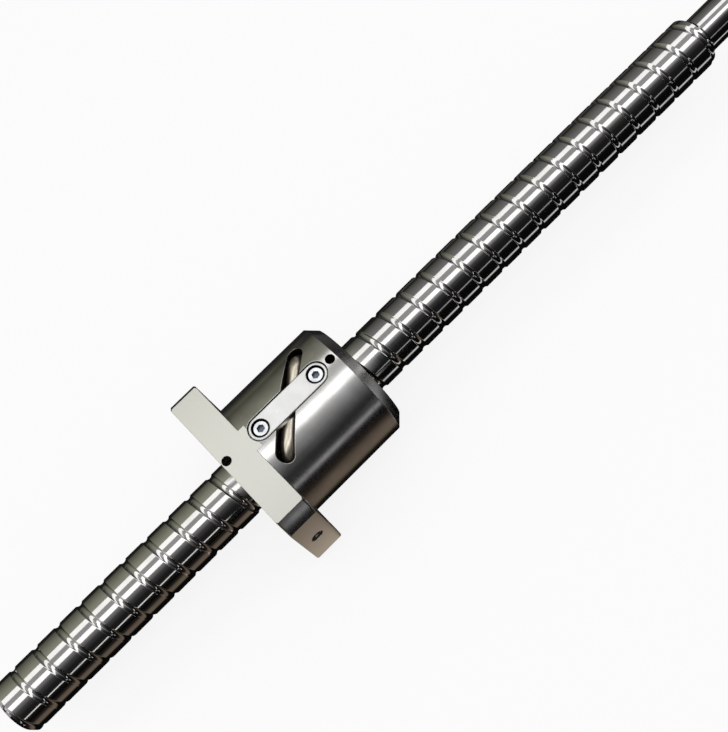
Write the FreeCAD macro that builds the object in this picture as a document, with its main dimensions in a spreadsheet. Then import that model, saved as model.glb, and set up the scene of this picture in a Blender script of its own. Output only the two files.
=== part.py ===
# Ball screw with a flanged return-tube nut, as a parametric FreeCAD document in millimetres.
# The origin is on the screw axis, at the rear mounting face of the nut's flange.
# +X runs along the screw towards the journal, and +Z is up, out of the side with the return tube.
import FreeCAD
import Part
import Sketcher
import math
import os

DIMENSIONS = (
    ("screw_dia", 25.0, "outside diameter over the lands of the screw"),
    ("lead", 12.0, "travel in one turn, right-hand, single start"),
    ("ball_dia", 3.969, "ball diameter"),
    ("ball_rise", 1.3, "height of the ball centres over the screw's lands"),
    ("groove_gap", 0.0655, "gap from a ball to the wall of its groove"),
    ("half_turns", 5.0, "half turns of loaded balls, an odd number so that the legs are opposite"),
    ("ball_play", 0.02, "free space between one ball and the next"),
    ("reach_front", 140.5, "from the mounting face to the plain end of the screw"),
    ("reach_rear", 261.5, "from the mounting face to the journal's shoulder"),
    ("screw_chamfer", 2.2, "chamfer at both ends of the thread"),
    ("shoulder", 3.5, "height of the journal's shoulder"),
    ("journal_length", 26.0, "length of the end journal"),
    ("journal_chamfer", 1.2, "chamfer at the end of the journal"),
    ("centre_dia", 6.0, "mouth of the 60 degree centre holes"),
    ("nut_wall", 15.3, "wall of the nut from its bore to its outside"),
    ("land_gap", 0.7, "gap from the screw's lands to the nut's"),
    ("nut_chamfer", 4.4, "chamfer at the rear end of the nut"),
    ("leg_setback", 7.0, "from the mounting face to the first tube leg"),
    ("rear_land", 15.4, "from the second tube leg to the nut's rear end"),
    ("flange_rim", 15.0, "how far the turned flange stands out from the body"),
    ("flange_thickness", 13.7, "thickness of the flange"),
    ("flat_depth", 0.6, "how deep the upper flat lies under the body's crown"),
    ("stand_height", 0.3, "how far the lower flat stands out under the body, so that the nut lies still"),
    ("side_ear", 9.7, "how far the side flats stand out from the body"),
    ("flat_runout", 3.0, "how far the upper flat runs on into the body"),
    ("rim_chamfer", 0.6, "chamfer on the flange's rims"),
    ("bolt_setout", 7.5, "how far the four mounting holes lie out from the body"),
    ("bolt_angle", 30.0, "angle of the mounting holes from the side flats"),
    ("bolt_hole", 6.6, "mounting hole for an M6 screw"),
    ("bolt_head", 11.0, "counterbore of the mounting holes"),
    ("bolt_head_depth", 6.5, "depth of that counterbore"),
    ("oil_port", 6.0, "thread diameter of the M6 oil port"),
    ("oil_port_depth", 10.0, "depth of the oil port"),
    ("oil_way", 3.0, "drilling from the oil port to the bore"),
    ("tube_play", 0.2, "gap from a ball to the wall of the return tube"),
    ("tube_wall", 1.1, "wall of the return tube"),
    ("tube_bend", 6.0, "bend radius of the return tube's centre line"),
    ("tube_lift", 0.6, "gap from the end of a tube leg to the screw"),
    ("slot_gap", 0.25, "gap around the return tube in its pocket"),
    ("clamp_rim", 1.25, "wall of the tube clamp around a counterbore"),
    ("clamp_thickness", 3.05, "thickness of the tube clamp"),
    ("clamp_sink", 0.55, "how deep the tube clamp lies under the body's crown"),
    ("clamp_gap", 0.3, "gap around the tube clamp in its pocket"),
    ("clamp_edge", 0.35, "chamfer on the upper rim of the tube clamp"),
    ("head_gap", 0.55, "gap around a clamp screw's head in its counterbore"),
    ("clamp_web", 0.85, "thickness of the tube clamp under a screw head"),
    ("clamp_hole", 4.5, "clearance hole of the clamp"),
    ("cap_head", 6.6, "head diameter of the clamp screws"),
    ("cap_head_height", 1.6, "head height of the clamp screws"),
    ("cap_shank", 4.0, "thread diameter of the clamp screws"),
    ("cap_length", 7.0, "length of the clamp screws under the head"),
    ("cap_socket", 3.0, "hexagon of the clamp screws across flats"),
    ("cap_socket_depth", 1.3, "depth of that hexagon"),
    ("cap_edge", 0.35, "chamfer on the clamp screws"),
    ("wiper_wall", 4.6, "wall of a wiper ring"),
    ("wiper_thickness", 5.0, "thickness of a wiper ring"),
    ("wiper_gap", 0.35, "gap from a wiper ring to the screw"),
    ("wiper_edge", 0.5, "chamfer on the wiper rings"),
    ("wiper_inset", 4.6, "how deep the rear wiper lies from the nut's end"),
    ("grub_dia", 4.0, "diameter of the wiper set screws"),
    ("grub_length", 4.8, "length of the wiper set screws"),
    ("grub_socket", 2.0, "hexagon of the set screws across flats"),
    ("grub_socket_depth", 2.2, "depth of that hexagon"),
    ("grub_edge", 0.35, "chamfer on the set screws"),
    ("fit_gap", 0.05, "gap of a close fit, on each side"),
)

# what reaches past a face so that a cut goes through it
OVERSHOOT = 5.0

# whole turns that a groove's cutter runs on past each end
SPARE_TURNS = 1

FULL_CIRCLE = math.degrees(math.tau)
HEXAGON_SIDES = 6
# how far the sockets happen to be turned
SOCKET_TURN = 15.0
# lengths under this are nothing
ZERO = 1e-6

doc = FreeCAD.newDocument("ball_screw")
sheet = doc.addObject("Spreadsheet::Sheet", "dims")
for row, (alias, value, note) in enumerate(DIMENSIONS, start=1):
    sheet.set(f"A{row}", alias)
    sheet.set(f"B{row}", repr(value))
    sheet.set(f"C{row}", note)
    sheet.setAlias(f"B{row}", alias)
doc.recompute()

# sizes and places that several pieces share, as expressions on the sheet
BALL_RADIUS = "(dims.screw_dia / 2 + dims.ball_rise)"
GROOVE_RADIUS = "(dims.ball_dia / 2 + dims.groove_gap)"
JOURNAL_DIA = "(dims.screw_dia - 2 * dims.shoulder)"
NUT_BORE = "(dims.screw_dia + 2 * dims.land_gap)"
NUT_DIA = f"({NUT_BORE} + 2 * dims.nut_wall)"
FLANGE_DIA = f"({NUT_DIA} + 2 * dims.flange_rim)"
UPPER_FLAT = f"({NUT_DIA} / 2 - dims.flat_depth)"
LOWER_FLAT = f"({NUT_DIA} / 2 + dims.stand_height)"
FLANGE_WIDTH = f"({NUT_DIA} + 2 * dims.side_ear)"
BOLT_CIRCLE = f"({NUT_DIA} + 2 * dims.bolt_setout)"
CLAMP_BORE = "(dims.cap_head + 2 * dims.head_gap)"
CLAMP_BORE_DEPTH = "(dims.clamp_thickness - dims.clamp_web)"
CLAMP_WIDTH = f"({CLAMP_BORE} + 2 * dims.clamp_rim)"
TUBE_BORE = "(dims.ball_dia + 2 * dims.tube_play)"
TUBE_OUTER = f"({TUBE_BORE} + 2 * dims.tube_wall)"
POCKET_DIA = f"({TUBE_OUTER} + 2 * dims.slot_gap)"
LEG_HOLE = f"({POCKET_DIA} + 2 * dims.fit_gap)"
CIRCUIT = "(dims.half_turns / 2 * dims.lead)"
TUBE_MIDDLE = f"(dims.leg_setback + {CIRCUIT} / 2)"
REAR_LEG = f"(dims.leg_setback + {CIRCUIT})"
NUT_END = f"({REAR_LEG} + dims.rear_land)"
CLAMP_TOP = f"({NUT_DIA} / 2 - dims.clamp_sink)"
CLAMP_FLOOR = f"({CLAMP_TOP} - dims.clamp_thickness)"
TUBE_HEIGHT = f"({CLAMP_FLOOR} - {TUBE_OUTER} / 2 - dims.fit_gap)"
TUBE_END = (
    "sqrt((dims.screw_dia / 2 + dims.tube_lift) ^ 2"
    f" - ({BALL_RADIUS} - {TUBE_OUTER} / 2) ^ 2)"
)
HALF_DIAGONAL = f"sqrt(({CIRCUIT} / 2) ^ 2 + ({BALL_RADIUS}) ^ 2)"
HEAD_SEAT = f"({CLAMP_TOP} - {CLAMP_BORE_DEPTH})"
CAP_HOLE = "(dims.cap_shank + 2 * dims.fit_gap)"
WIPER_BORE = "(dims.screw_dia + 2 * dims.wiper_gap)"
WIPER_DIA = f"({WIPER_BORE} + 2 * dims.wiper_wall)"
WIPER_SEAT = f"({WIPER_DIA} + 2 * dims.fit_gap)"
FRONT_WIPER = "(-dims.flange_thickness + dims.wiper_thickness / 2)"
REAR_WIPER = f"({NUT_END} - dims.wiper_inset - dims.wiper_thickness / 2)"
GRUB_HOLE = "(dims.grub_dia + 2 * dims.fit_gap)"
GRUB_SEAT = f"({WIPER_SEAT} / 2)"
# the ball track passes the first leg at -Y, so it crosses the top a quarter turn earlier
TRACK_TOP = "(dims.leg_setback - dims.lead / 4)"


def size(expression):
    """The value of an expression on the sheet."""
    return float(sheet.evalExpression(expression))


def tube_angle():
    """The angle of the return tube's crossing from the screw axis, in degrees."""
    return math.degrees(math.atan2(size(BALL_RADIUS), size(CIRCUIT) / 2))


def origin_feature(body, role):
    """A body's own origin plane or axis."""
    return next(f for f in body.Origin.OriginFeatures if f.Role == role)


def new_body(name):
    """An empty body with its node's name."""
    body = doc.addObject("PartDesign::Body", name)
    body.Label = name
    return body


def new_sketch(body, name, role, offset=None, across=None, turn=0.0, about=(0, 0, 1)):
    """A sketch on an origin plane, moved along its normal and across, and turned about its own axis."""
    sketch = body.newObject("Sketcher::SketchObject", f"{body.Name}_{name}")
    sketch.AttachmentSupport = [(origin_feature(body, role), "")]
    sketch.MapMode = "FlatFace"
    if turn:
        rotation = FreeCAD.Rotation(FreeCAD.Vector(*about), turn)
        sketch.AttachmentOffset = FreeCAD.Placement(FreeCAD.Vector(), rotation)
    if offset:
        sketch.setExpression("AttachmentOffset.Base.z", offset)
    if across:
        sketch.setExpression("AttachmentOffset.Base.x", across[0])
        sketch.setExpression("AttachmentOffset.Base.y", across[1])
    return sketch


def pin_point(sketch, geometry, point, x, y):
    """Hold a sketch point at a place given by two expressions."""
    for kind, axis, expression in (("DistanceX", -2, x), ("DistanceY", -1, y)):
        value = size(expression)
        if abs(value) < ZERO:
            sketch.addConstraint(Sketcher.Constraint("PointOnObject", geometry, point, axis))
            continue
        index = sketch.addConstraint(Sketcher.Constraint(kind, -1, 1, geometry, point, value))
        sketch.setExpression(f"Constraints[{index}]", expression)


def polygon(sketch, corners):
    """A closed outline of straight lines through corners given as pairs of expressions."""
    points = [FreeCAD.Vector(size(x), size(y), 0) for x, y in corners]
    count = len(points)
    lines = [
        sketch.addGeometry(Part.LineSegment(points[i], points[(i + 1) % count]), False)
        for i in range(count)
    ]
    for i, line in enumerate(lines):
        sketch.addConstraint(Sketcher.Constraint("Coincident", line, 2, lines[(i + 1) % count], 1))
    for line, (x, y) in zip(lines, corners):
        pin_point(sketch, line, 1, x, y)


def rectangle(sketch, left, right, low, high):
    """A rectangle between four expressions."""
    polygon(sketch, ((left, low), (right, low), (right, high), (left, high)))


def circle(sketch, x, y, diameter):
    """A circle given by expressions."""
    centre = FreeCAD.Vector(size(x), size(y), 0)
    up = FreeCAD.Vector(0, 0, 1)
    round_edge = sketch.addGeometry(Part.Circle(centre, up, size(diameter) / 2), False)
    pin_point(sketch, round_edge, 3, x, y)
    index = sketch.addConstraint(Sketcher.Constraint("Diameter", round_edge, size(diameter)))
    sketch.setExpression(f"Constraints[{index}]", diameter)


def stadium(sketch, left, right, width):
    """A slot along the sketch's x axis with round ends centred at left and right."""
    start, end, radius = size(left), size(right), size(width) / 2
    up = FreeCAD.Vector(0, 0, 1)
    ends = []
    for centre, first, last in ((start, 0.5, 1.5), (end, -0.5, 0.5)):
        full = Part.Circle(FreeCAD.Vector(centre, 0, 0), up, radius)
        arc = Part.ArcOfCircle(full, first * math.pi, last * math.pi)
        ends.append(sketch.addGeometry(arc, False))
    low = Part.LineSegment(FreeCAD.Vector(start, -radius, 0), FreeCAD.Vector(end, -radius, 0))
    high = Part.LineSegment(FreeCAD.Vector(end, radius, 0), FreeCAD.Vector(start, radius, 0))
    low_line = sketch.addGeometry(low, False)
    high_line = sketch.addGeometry(high, False)
    for first, first_end, second, second_end in (
        (ends[0], 2, low_line, 1),
        (low_line, 2, ends[1], 1),
        (ends[1], 2, high_line, 1),
        (high_line, 2, ends[0], 1),
    ):
        sketch.addConstraint(Sketcher.Constraint("Tangent", first, first_end, second, second_end))
    pin_point(sketch, ends[0], 3, left, "0")
    pin_point(sketch, ends[1], 3, right, "0")
    index = sketch.addConstraint(Sketcher.Constraint("Diameter", ends[0], 2 * radius))
    sketch.setExpression(f"Constraints[{index}]", width)


def hexagon(sketch, across_flats):
    """A hexagon about the sketch's origin."""
    radius = f"{across_flats} / sqrt(3)"
    step = FULL_CIRCLE / HEXAGON_SIDES
    angles = [SOCKET_TURN + i * step for i in range(HEXAGON_SIDES)]
    polygon(sketch, [(f"{radius} * cos({angle})", f"{radius} * sin({angle})") for angle in angles])


def revolve(body, sketch, axis):
    """Turn a sketch about one of the body's axes."""
    feature = body.newObject("PartDesign::Revolution", f"{sketch.Name}_turned")
    feature.Profile = sketch
    feature.ReferenceAxis = (origin_feature(body, axis), [""])
    feature.Angle = FULL_CIRCLE
    doc.recompute()
    return feature


def pad(body, sketch, length):
    """Raise a sketch along its normal."""
    feature = body.newObject("PartDesign::Pad", f"{sketch.Name}_raised")
    feature.Profile = sketch
    feature.setExpression("Length", length)
    doc.recompute()
    return feature


def must_cut(body, before, feature):
    """Stop if a cut took nothing away."""
    doc.recompute()
    if not body.Shape.Volume < before:
        raise RuntimeError(f"{feature.Name} cut nothing")
    return feature


def pocket(body, sketch, depth, along_normal=False):
    """Cut a sketch into the body, against its normal unless told otherwise."""
    doc.recompute()
    before = body.Shape.Volume
    feature = body.newObject("PartDesign::Pocket", f"{sketch.Name}_cut")
    feature.Profile = sketch
    feature.Reversed = along_normal
    feature.setExpression("Length", depth)
    return must_cut(body, before, feature)


def ball_groove(body, reach_front, reach_rear):
    """Cut the right-hand ball groove along the X axis, past both ends of what lies each way."""
    turns_front = f"(ceil(({reach_front} + {TRACK_TOP}) / dims.lead) + {SPARE_TURNS})"
    turns_rear = f"(ceil(({reach_rear} - {TRACK_TOP}) / dims.lead) + {SPARE_TURNS})"
    start = f"{TRACK_TOP} - dims.lead * {turns_front}"
    height = f"dims.lead * ({turns_front} + {turns_rear})"
    sketch = new_sketch(body, "groove_section", "XZ_Plane")
    circle(sketch, start, BALL_RADIUS, f"2 * {GROOVE_RADIUS}")
    doc.recompute()
    before = body.Shape.Volume
    feature = body.newObject("PartDesign::SubtractiveHelix", f"{body.Name}_groove")
    feature.Profile = sketch
    feature.ReferenceAxis = (origin_feature(body, "X_Axis"), [""])
    feature.Mode = "pitch-height-angle"
    feature.setExpression("Pitch", "dims.lead")
    feature.setExpression("Height", height)
    return must_cut(body, before, feature)


def tube_path(body, low_end):
    """The return tube's centre line: up one leg, across on the diagonal and down the other."""
    upright = (0, 1, 0)
    middle = (TUBE_MIDDLE, "0")
    sketch = new_sketch(body, "path", "XZ_Plane", across=middle, turn=tube_angle(), about=upright)
    half, low, top, bend = size(HALF_DIAGONAL), size(low_end), size(TUBE_HEIGHT), size("dims.tube_bend")
    up = FreeCAD.Vector(0, 0, 1)
    corner = top - bend

    def arc(x, first, last):
        full = Part.Circle(FreeCAD.Vector(x, corner, 0), up, bend)
        return Part.ArcOfCircle(full, first * math.pi, last * math.pi)

    pieces = (
        Part.LineSegment(FreeCAD.Vector(-half, low, 0), FreeCAD.Vector(-half, corner, 0)),
        arc(bend - half, 0.5, 1.0),
        Part.LineSegment(FreeCAD.Vector(bend - half, top, 0), FreeCAD.Vector(half - bend, top, 0)),
        arc(half - bend, 0.0, 0.5),
        Part.LineSegment(FreeCAD.Vector(half, corner, 0), FreeCAD.Vector(half, low, 0)),
    )
    leg_in, turn_in, across, turn_out, leg_out = [sketch.addGeometry(p, False) for p in pieces]
    for first, first_end, second, second_end in (
        (leg_in, 2, turn_in, 2),
        (turn_in, 1, across, 1),
        (across, 2, turn_out, 2),
        (turn_out, 1, leg_out, 1),
    ):
        sketch.addConstraint(Sketcher.Constraint("Tangent", first, first_end, second, second_end))
    pin_point(sketch, leg_in, 1, f"-{HALF_DIAGONAL}", low_end)
    pin_point(sketch, leg_out, 2, HALF_DIAGONAL, low_end)
    sketch.addConstraint(Sketcher.Constraint("Vertical", leg_in))
    for turn in (turn_in, turn_out):
        index = sketch.addConstraint(Sketcher.Constraint("Radius", turn, bend))
        sketch.setExpression(f"Constraints[{index}]", "dims.tube_bend")
    index = sketch.addConstraint(Sketcher.Constraint("DistanceY", -1, 1, across, 1, top))
    sketch.setExpression(f"Constraints[{index}]", TUBE_HEIGHT)
    return sketch


def pipe(body, kind, path, name, diameter, low_end):
    """Sweep a circle along the return tube's path, added or cut away."""
    section = new_sketch(body, name, "XY_Plane", offset=low_end)
    circle(section, "dims.leg_setback", f"-{BALL_RADIUS}", diameter)
    doc.recompute()
    feature = body.newObject(f"PartDesign::{kind}", f"{section.Name}_swept")
    feature.Profile = section
    feature.Spine = (path, [f"Edge{i + 1}" for i in range(path.GeometryCount)])
    doc.recompute()
    return feature


def make_screw():
    """The threaded shaft with its journal and centre holes."""
    body = new_body("screw_shaft")
    profile = new_sketch(body, "profile", "XZ_Plane")
    left = "-dims.reach_front"
    right = "dims.reach_rear"
    tip = "(dims.reach_rear + dims.journal_length)"
    centre_depth = "dims.centre_dia / 2 * sqrt(3)"
    polygon(
        profile,
        (
            (f"{left} + {centre_depth}", "0"),
            (left, "dims.centre_dia / 2"),
            (left, "dims.screw_dia / 2 - dims.screw_chamfer"),
            (f"{left} + dims.screw_chamfer", "dims.screw_dia / 2"),
            (f"{right} - dims.screw_chamfer", "dims.screw_dia / 2"),
            (right, "dims.screw_dia / 2 - dims.screw_chamfer"),
            (right, f"{JOURNAL_DIA} / 2"),
            (f"{tip} - dims.journal_chamfer", f"{JOURNAL_DIA} / 2"),
            (tip, f"{JOURNAL_DIA} / 2 - dims.journal_chamfer"),
            (tip, "dims.centre_dia / 2"),
            (f"{tip} - {centre_depth}", "0"),
        ),
    )
    revolve(body, profile, "X_Axis")
    ball_groove(body, "dims.reach_front", "dims.reach_rear")
    return body


def make_nut():
    """The flanged nut: turned, flatted, grooved inside, pocketed for the tube and drilled."""
    body = new_body("nut_body")
    front = "-dims.flange_thickness"
    profile = new_sketch(body, "profile", "XZ_Plane")
    front_seat = f"{front} + dims.wiper_thickness"
    rear_seat = f"{NUT_END} - dims.wiper_inset - dims.wiper_thickness"
    polygon(
        profile,
        (
            (front, f"{WIPER_SEAT} / 2"),
            (front, f"{FLANGE_DIA} / 2 - dims.rim_chamfer"),
            (f"{front} + dims.rim_chamfer", f"{FLANGE_DIA} / 2"),
            ("-dims.rim_chamfer", f"{FLANGE_DIA} / 2"),
            ("0", f"{FLANGE_DIA} / 2 - dims.rim_chamfer"),
            ("0", f"{NUT_DIA} / 2"),
            (f"{NUT_END} - dims.nut_chamfer", f"{NUT_DIA} / 2"),
            (NUT_END, f"{NUT_DIA} / 2 - dims.nut_chamfer"),
            (NUT_END, f"{WIPER_SEAT} / 2"),
            (rear_seat, f"{WIPER_SEAT} / 2"),
            (rear_seat, f"{NUT_BORE} / 2"),
            (front_seat, f"{NUT_BORE} / 2"),
            (front_seat, f"{WIPER_SEAT} / 2"),
        ),
    )
    revolve(body, profile, "X_Axis")

    far_out = f"{FLANGE_DIA} / 2 + {OVERSHOOT}"
    past_front = f"{front} - {OVERSHOOT}"
    for side, height in (("upper", UPPER_FLAT), ("lower", f"-{LOWER_FLAT}")):
        flat = new_sketch(body, f"{side}_flat", "XY_Plane", offset=height)
        rectangle(flat, past_front, "dims.flat_runout", f"-({far_out})", far_out)
        pocket(body, flat, f"{FLANGE_DIA} / 2", along_normal=side == "upper")
    for side, sign in (("near", ""), ("far", "-")):
        flat = new_sketch(body, f"{side}_flat", "XZ_Plane", offset=f"{sign}{FLANGE_WIDTH} / 2")
        rectangle(flat, past_front, "0", f"-({far_out})", far_out)
        pocket(body, flat, f"{FLANGE_DIA} / 2", along_normal=not sign)

    top = f"{NUT_DIA} / 2"
    over_top = f"{top} + {OVERSHOOT}"
    clamp_pocket = new_sketch(body, "clamp_pocket", "XY_Plane", over_top)
    stadium(clamp_pocket, "dims.leg_setback", REAR_LEG, f"{CLAMP_WIDTH} + 2 * dims.clamp_gap")
    pocket(body, clamp_pocket, f"{over_top} - {CLAMP_FLOOR}")

    path = tube_path(body, "0")
    before = body.Shape.Volume
    must_cut(body, before, pipe(body, "SubtractivePipe", path, "tube_way", POCKET_DIA, "0"))
    middle = (TUBE_MIDDLE, "0")
    tube_slot = new_sketch(body, "tube_slot", "XY_Plane", over_top, across=middle, turn=tube_angle())
    stadium(tube_slot, f"-{HALF_DIAGONAL}", HALF_DIAGONAL, POCKET_DIA)
    pocket(body, tube_slot, f"{over_top} - {TUBE_HEIGHT}")
    leg_holes = new_sketch(body, "leg_holes", "XY_Plane", over_top)
    circle(leg_holes, "dims.leg_setback", f"-{BALL_RADIUS}", LEG_HOLE)
    circle(leg_holes, REAR_LEG, BALL_RADIUS, LEG_HOLE)
    pocket(body, leg_holes, f"{over_top} - {TUBE_HEIGHT} + dims.tube_bend")

    cap_holes = new_sketch(body, "cap_holes", "XY_Plane", offset=CLAMP_FLOOR)
    for x in ("dims.leg_setback", REAR_LEG):
        circle(cap_holes, x, "0", CAP_HOLE)
    pocket(body, cap_holes, "dims.cap_length - dims.clamp_web + 2 * dims.fit_gap")

    grub_holes = new_sketch(body, "grub_holes", "XY_Plane", over_top)
    for x in (FRONT_WIPER, REAR_WIPER):
        circle(grub_holes, x, "0", GRUB_HOLE)
    break_through = f"{GRUB_HOLE} / 2"
    pocket(body, grub_holes, f"{over_top} - {GRUB_SEAT} + {break_through}")

    bolt_y = f"{BOLT_CIRCLE} / 2 * cos(dims.bolt_angle)"
    bolt_z = f"{BOLT_CIRCLE} / 2 * sin(dims.bolt_angle)"
    for name, diameter, depth in (
        ("bolt_holes", "dims.bolt_hole", f"dims.flange_thickness + {OVERSHOOT}"),
        ("bolt_heads", "dims.bolt_head", "dims.bolt_head_depth"),
    ):
        holes = new_sketch(body, name, "YZ_Plane", offset=front)
        for side in ("", "-"):
            for height in ("", "-"):
                circle(holes, f"{side}{bolt_y}", f"{height}{bolt_z}", diameter)
        pocket(body, holes, depth, along_normal=True)

    port_x = "-dims.flange_thickness / 2"
    oil_port = new_sketch(body, "oil_port", "XZ_Plane", offset=f"{FLANGE_WIDTH} / 2")
    circle(oil_port, port_x, "0", "dims.oil_port")
    pocket(body, oil_port, "dims.oil_port_depth")
    oil_way = new_sketch(body, "oil_way", "XZ_Plane", offset=f"{FLANGE_WIDTH} / 2")
    circle(oil_way, port_x, "0", "dims.oil_way")
    pocket(body, oil_way, f"({FLANGE_WIDTH} - {NUT_BORE}) / 2 + dims.oil_way")

    # the ball groove comes last, when it meets the legs' holes as clean openings
    ball_groove(body, "dims.flange_thickness", NUT_END)
    return body


def make_tube():
    """The bent return tube that carries the balls back over the nut."""
    body = new_body("return_tube")
    path = tube_path(body, TUBE_END)
    pipe(body, "AdditivePipe", path, "outside", TUBE_OUTER, TUBE_END)
    before = body.Shape.Volume
    must_cut(body, before, pipe(body, "SubtractivePipe", path, "inside", TUBE_BORE, TUBE_END))
    return body


def make_clamp():
    """The plate that holds the return tube down, counterbored for its two screws."""
    body = new_body("tube_clamp")
    outline = new_sketch(body, "outline", "XY_Plane", offset=CLAMP_FLOOR)
    stadium(outline, "dims.leg_setback", REAR_LEG, CLAMP_WIDTH)
    plate = pad(body, outline, "dims.clamp_thickness")
    top = size(CLAMP_TOP)
    rim = [
        f"Edge{i}"
        for i, edge in enumerate(plate.Shape.Edges, start=1)
        if abs(edge.BoundBox.ZMin - top) < ZERO and abs(edge.BoundBox.ZMax - top) < ZERO
    ]
    bevel = body.newObject("PartDesign::Chamfer", "tube_clamp_bevel")
    bevel.Base = (plate, rim)
    bevel.setExpression("Size", "dims.clamp_edge")
    for name, diameter, depth in (
        ("holes", "dims.clamp_hole", "dims.clamp_thickness"),
        ("head_seats", CLAMP_BORE, CLAMP_BORE_DEPTH),
    ):
        holes = new_sketch(body, name, "XY_Plane", offset=CLAMP_TOP)
        for x in ("dims.leg_setback", REAR_LEG):
            circle(holes, x, "0", diameter)
        pocket(body, holes, depth)
    return body


def make_cap_screw(name, x):
    """A low-head socket cap screw, upright, with its head seated in the clamp at x."""
    body = new_body(name)
    profile = new_sketch(body, "profile", "XZ_Plane")
    polygon(
        profile,
        (
            ("0", "-dims.cap_length"),
            ("dims.cap_shank / 2 - dims.cap_edge", "-dims.cap_length"),
            ("dims.cap_shank / 2", "-dims.cap_length + dims.cap_edge"),
            ("dims.cap_shank / 2", "0"),
            ("dims.cap_head / 2", "0"),
            ("dims.cap_head / 2", "dims.cap_head_height - dims.cap_edge"),
            ("dims.cap_head / 2 - dims.cap_edge", "dims.cap_head_height"),
            ("0", "dims.cap_head_height"),
        ),
    )
    revolve(body, profile, "Z_Axis")
    socket = new_sketch(body, "socket", "XY_Plane", offset="dims.cap_head_height")
    hexagon(socket, "dims.cap_socket")
    pocket(body, socket, "dims.cap_socket_depth")
    body.setExpression("Placement.Base.x", x)
    body.setExpression("Placement.Base.z", HEAD_SEAT)
    return body


def make_wiper(name, x):
    """A wiper ring, centred on the screw axis at x."""
    body = new_body(name)
    section = new_sketch(body, "section", "XZ_Plane")
    half = "dims.wiper_thickness / 2"
    inner = f"{WIPER_BORE} / 2"
    outer = f"{WIPER_DIA} / 2"
    polygon(
        section,
        (
            (f"-{half} + dims.wiper_edge", inner),
            (f"{half} - dims.wiper_edge", inner),
            (half, f"{inner} + dims.wiper_edge"),
            (half, f"{outer} - dims.wiper_edge"),
            (f"{half} - dims.wiper_edge", outer),
            (f"-{half} + dims.wiper_edge", outer),
            (f"-{half}", f"{outer} - dims.wiper_edge"),
            (f"-{half}", f"{inner} + dims.wiper_edge"),
        ),
    )
    revolve(body, section, "X_Axis")
    body.setExpression("Placement.Base.x", x)
    return body


def make_grub_screw(name, x):
    """A socket set screw that bears on a wiper ring, upright at x."""
    body = new_body(name)
    profile = new_sketch(body, "profile", "XZ_Plane")
    polygon(
        profile,
        (
            ("0", "0"),
            ("dims.grub_dia / 2 - dims.grub_edge", "0"),
            ("dims.grub_dia / 2", "dims.grub_edge"),
            ("dims.grub_dia / 2", "dims.grub_length - dims.grub_edge"),
            ("dims.grub_dia / 2 - dims.grub_edge", "dims.grub_length"),
            ("0", "dims.grub_length"),
        ),
    )
    revolve(body, profile, "Z_Axis")
    socket = new_sketch(body, "socket", "XY_Plane", offset="dims.grub_length")
    hexagon(socket, "dims.grub_socket")
    pocket(body, socket, "dims.grub_socket_depth")
    body.setExpression("Placement.Base.x", x)
    body.setExpression("Placement.Base.z", GRUB_SEAT)
    return body


def ball_group(name, centres):
    """Separate balls at the given centres, kept together as one group."""
    balls = []
    for i, centre in enumerate(centres, start=1):
        ball = doc.addObject("Part::Sphere", f"{name}_{i}")
        ball.setExpression("Radius", "dims.ball_dia / 2")
        ball.Placement.Base = centre
        balls.append(ball)
    group = doc.addObject("Part::Compound", name)
    group.Label = name
    group.Links = balls
    return group


def make_load_balls():
    """The balls that carry the load, in one group for each half turn of the track."""
    radius, lead, halves = size(BALL_RADIUS), size("dims.lead"), round(size("dims.half_turns"))
    track = halves * math.hypot(math.pi * radius, lead / 2)
    count = int(track // size("dims.ball_dia + dims.ball_play"))
    groups = [[] for _ in range(halves)]
    for i in range(count):
        share = (i + 0.5) / count
        angle = math.pi * (1 + share * halves)
        x = size("dims.leg_setback") + share * halves * lead / 2
        centre = FreeCAD.Vector(x, radius * math.cos(angle), radius * math.sin(angle))
        groups[int(share * halves)].append(centre)
    return [ball_group(f"load_balls_{i}", group) for i, group in enumerate(groups, start=1)]


def make_return_balls():
    """The balls on their way back through the tube: one leg, the crossing and the other leg."""
    half, top, bend = size(HALF_DIAGONAL), size(TUBE_HEIGHT), size("dims.tube_bend")
    leg = top - bend
    quarter = math.pi / 2 * bend
    crossing = 2 * (half - bend)
    length = 2 * leg + 2 * quarter + crossing
    step = size("dims.ball_dia + dims.ball_play")
    # the first and last balls are a full step from the track, clear of the screw's lands
    count = int(length // step) - 1
    turned = FreeCAD.Rotation(FreeCAD.Vector(0, 0, 1), tube_angle())
    middle = FreeCAD.Vector(size(TUBE_MIDDLE), 0, 0)
    groups = {"return_balls_in": [], "return_balls_across": [], "return_balls_out": []}
    for i in range(count):
        run = (i + 1) * length / (count + 1)
        back = min(run, length - run)
        side = -1 if run < length / 2 else 1
        if back < leg:
            along, height = half, back
        elif back < leg + quarter:
            turn = (back - leg) / bend
            along, height = half - bend * (1 - math.cos(turn)), leg + bend * math.sin(turn)
        else:
            along, height = half - bend - (back - leg - quarter), top
        if back >= leg + quarter:
            name = "return_balls_across"
        elif side < 0:
            name = "return_balls_in"
        else:
            name = "return_balls_out"
        place = turned.multVec(FreeCAD.Vector(side * along, 0, height)) + middle
        groups[name].append(place)
    return [ball_group(name, centres) for name, centres in groups.items()]


nodes = [
    make_screw(),
    make_nut(),
    make_tube(),
    make_clamp(),
    make_cap_screw("clamp_screw_front", "dims.leg_setback"),
    make_cap_screw("clamp_screw_rear", REAR_LEG),
    make_wiper("wiper_front", FRONT_WIPER),
    make_wiper("wiper_rear", REAR_WIPER),
    make_grub_screw("wiper_set_screw_front", FRONT_WIPER),
    make_grub_screw("wiper_set_screw_rear", REAR_WIPER),
]
nodes += make_load_balls()
nodes += make_return_balls()
doc.recompute()

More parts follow.
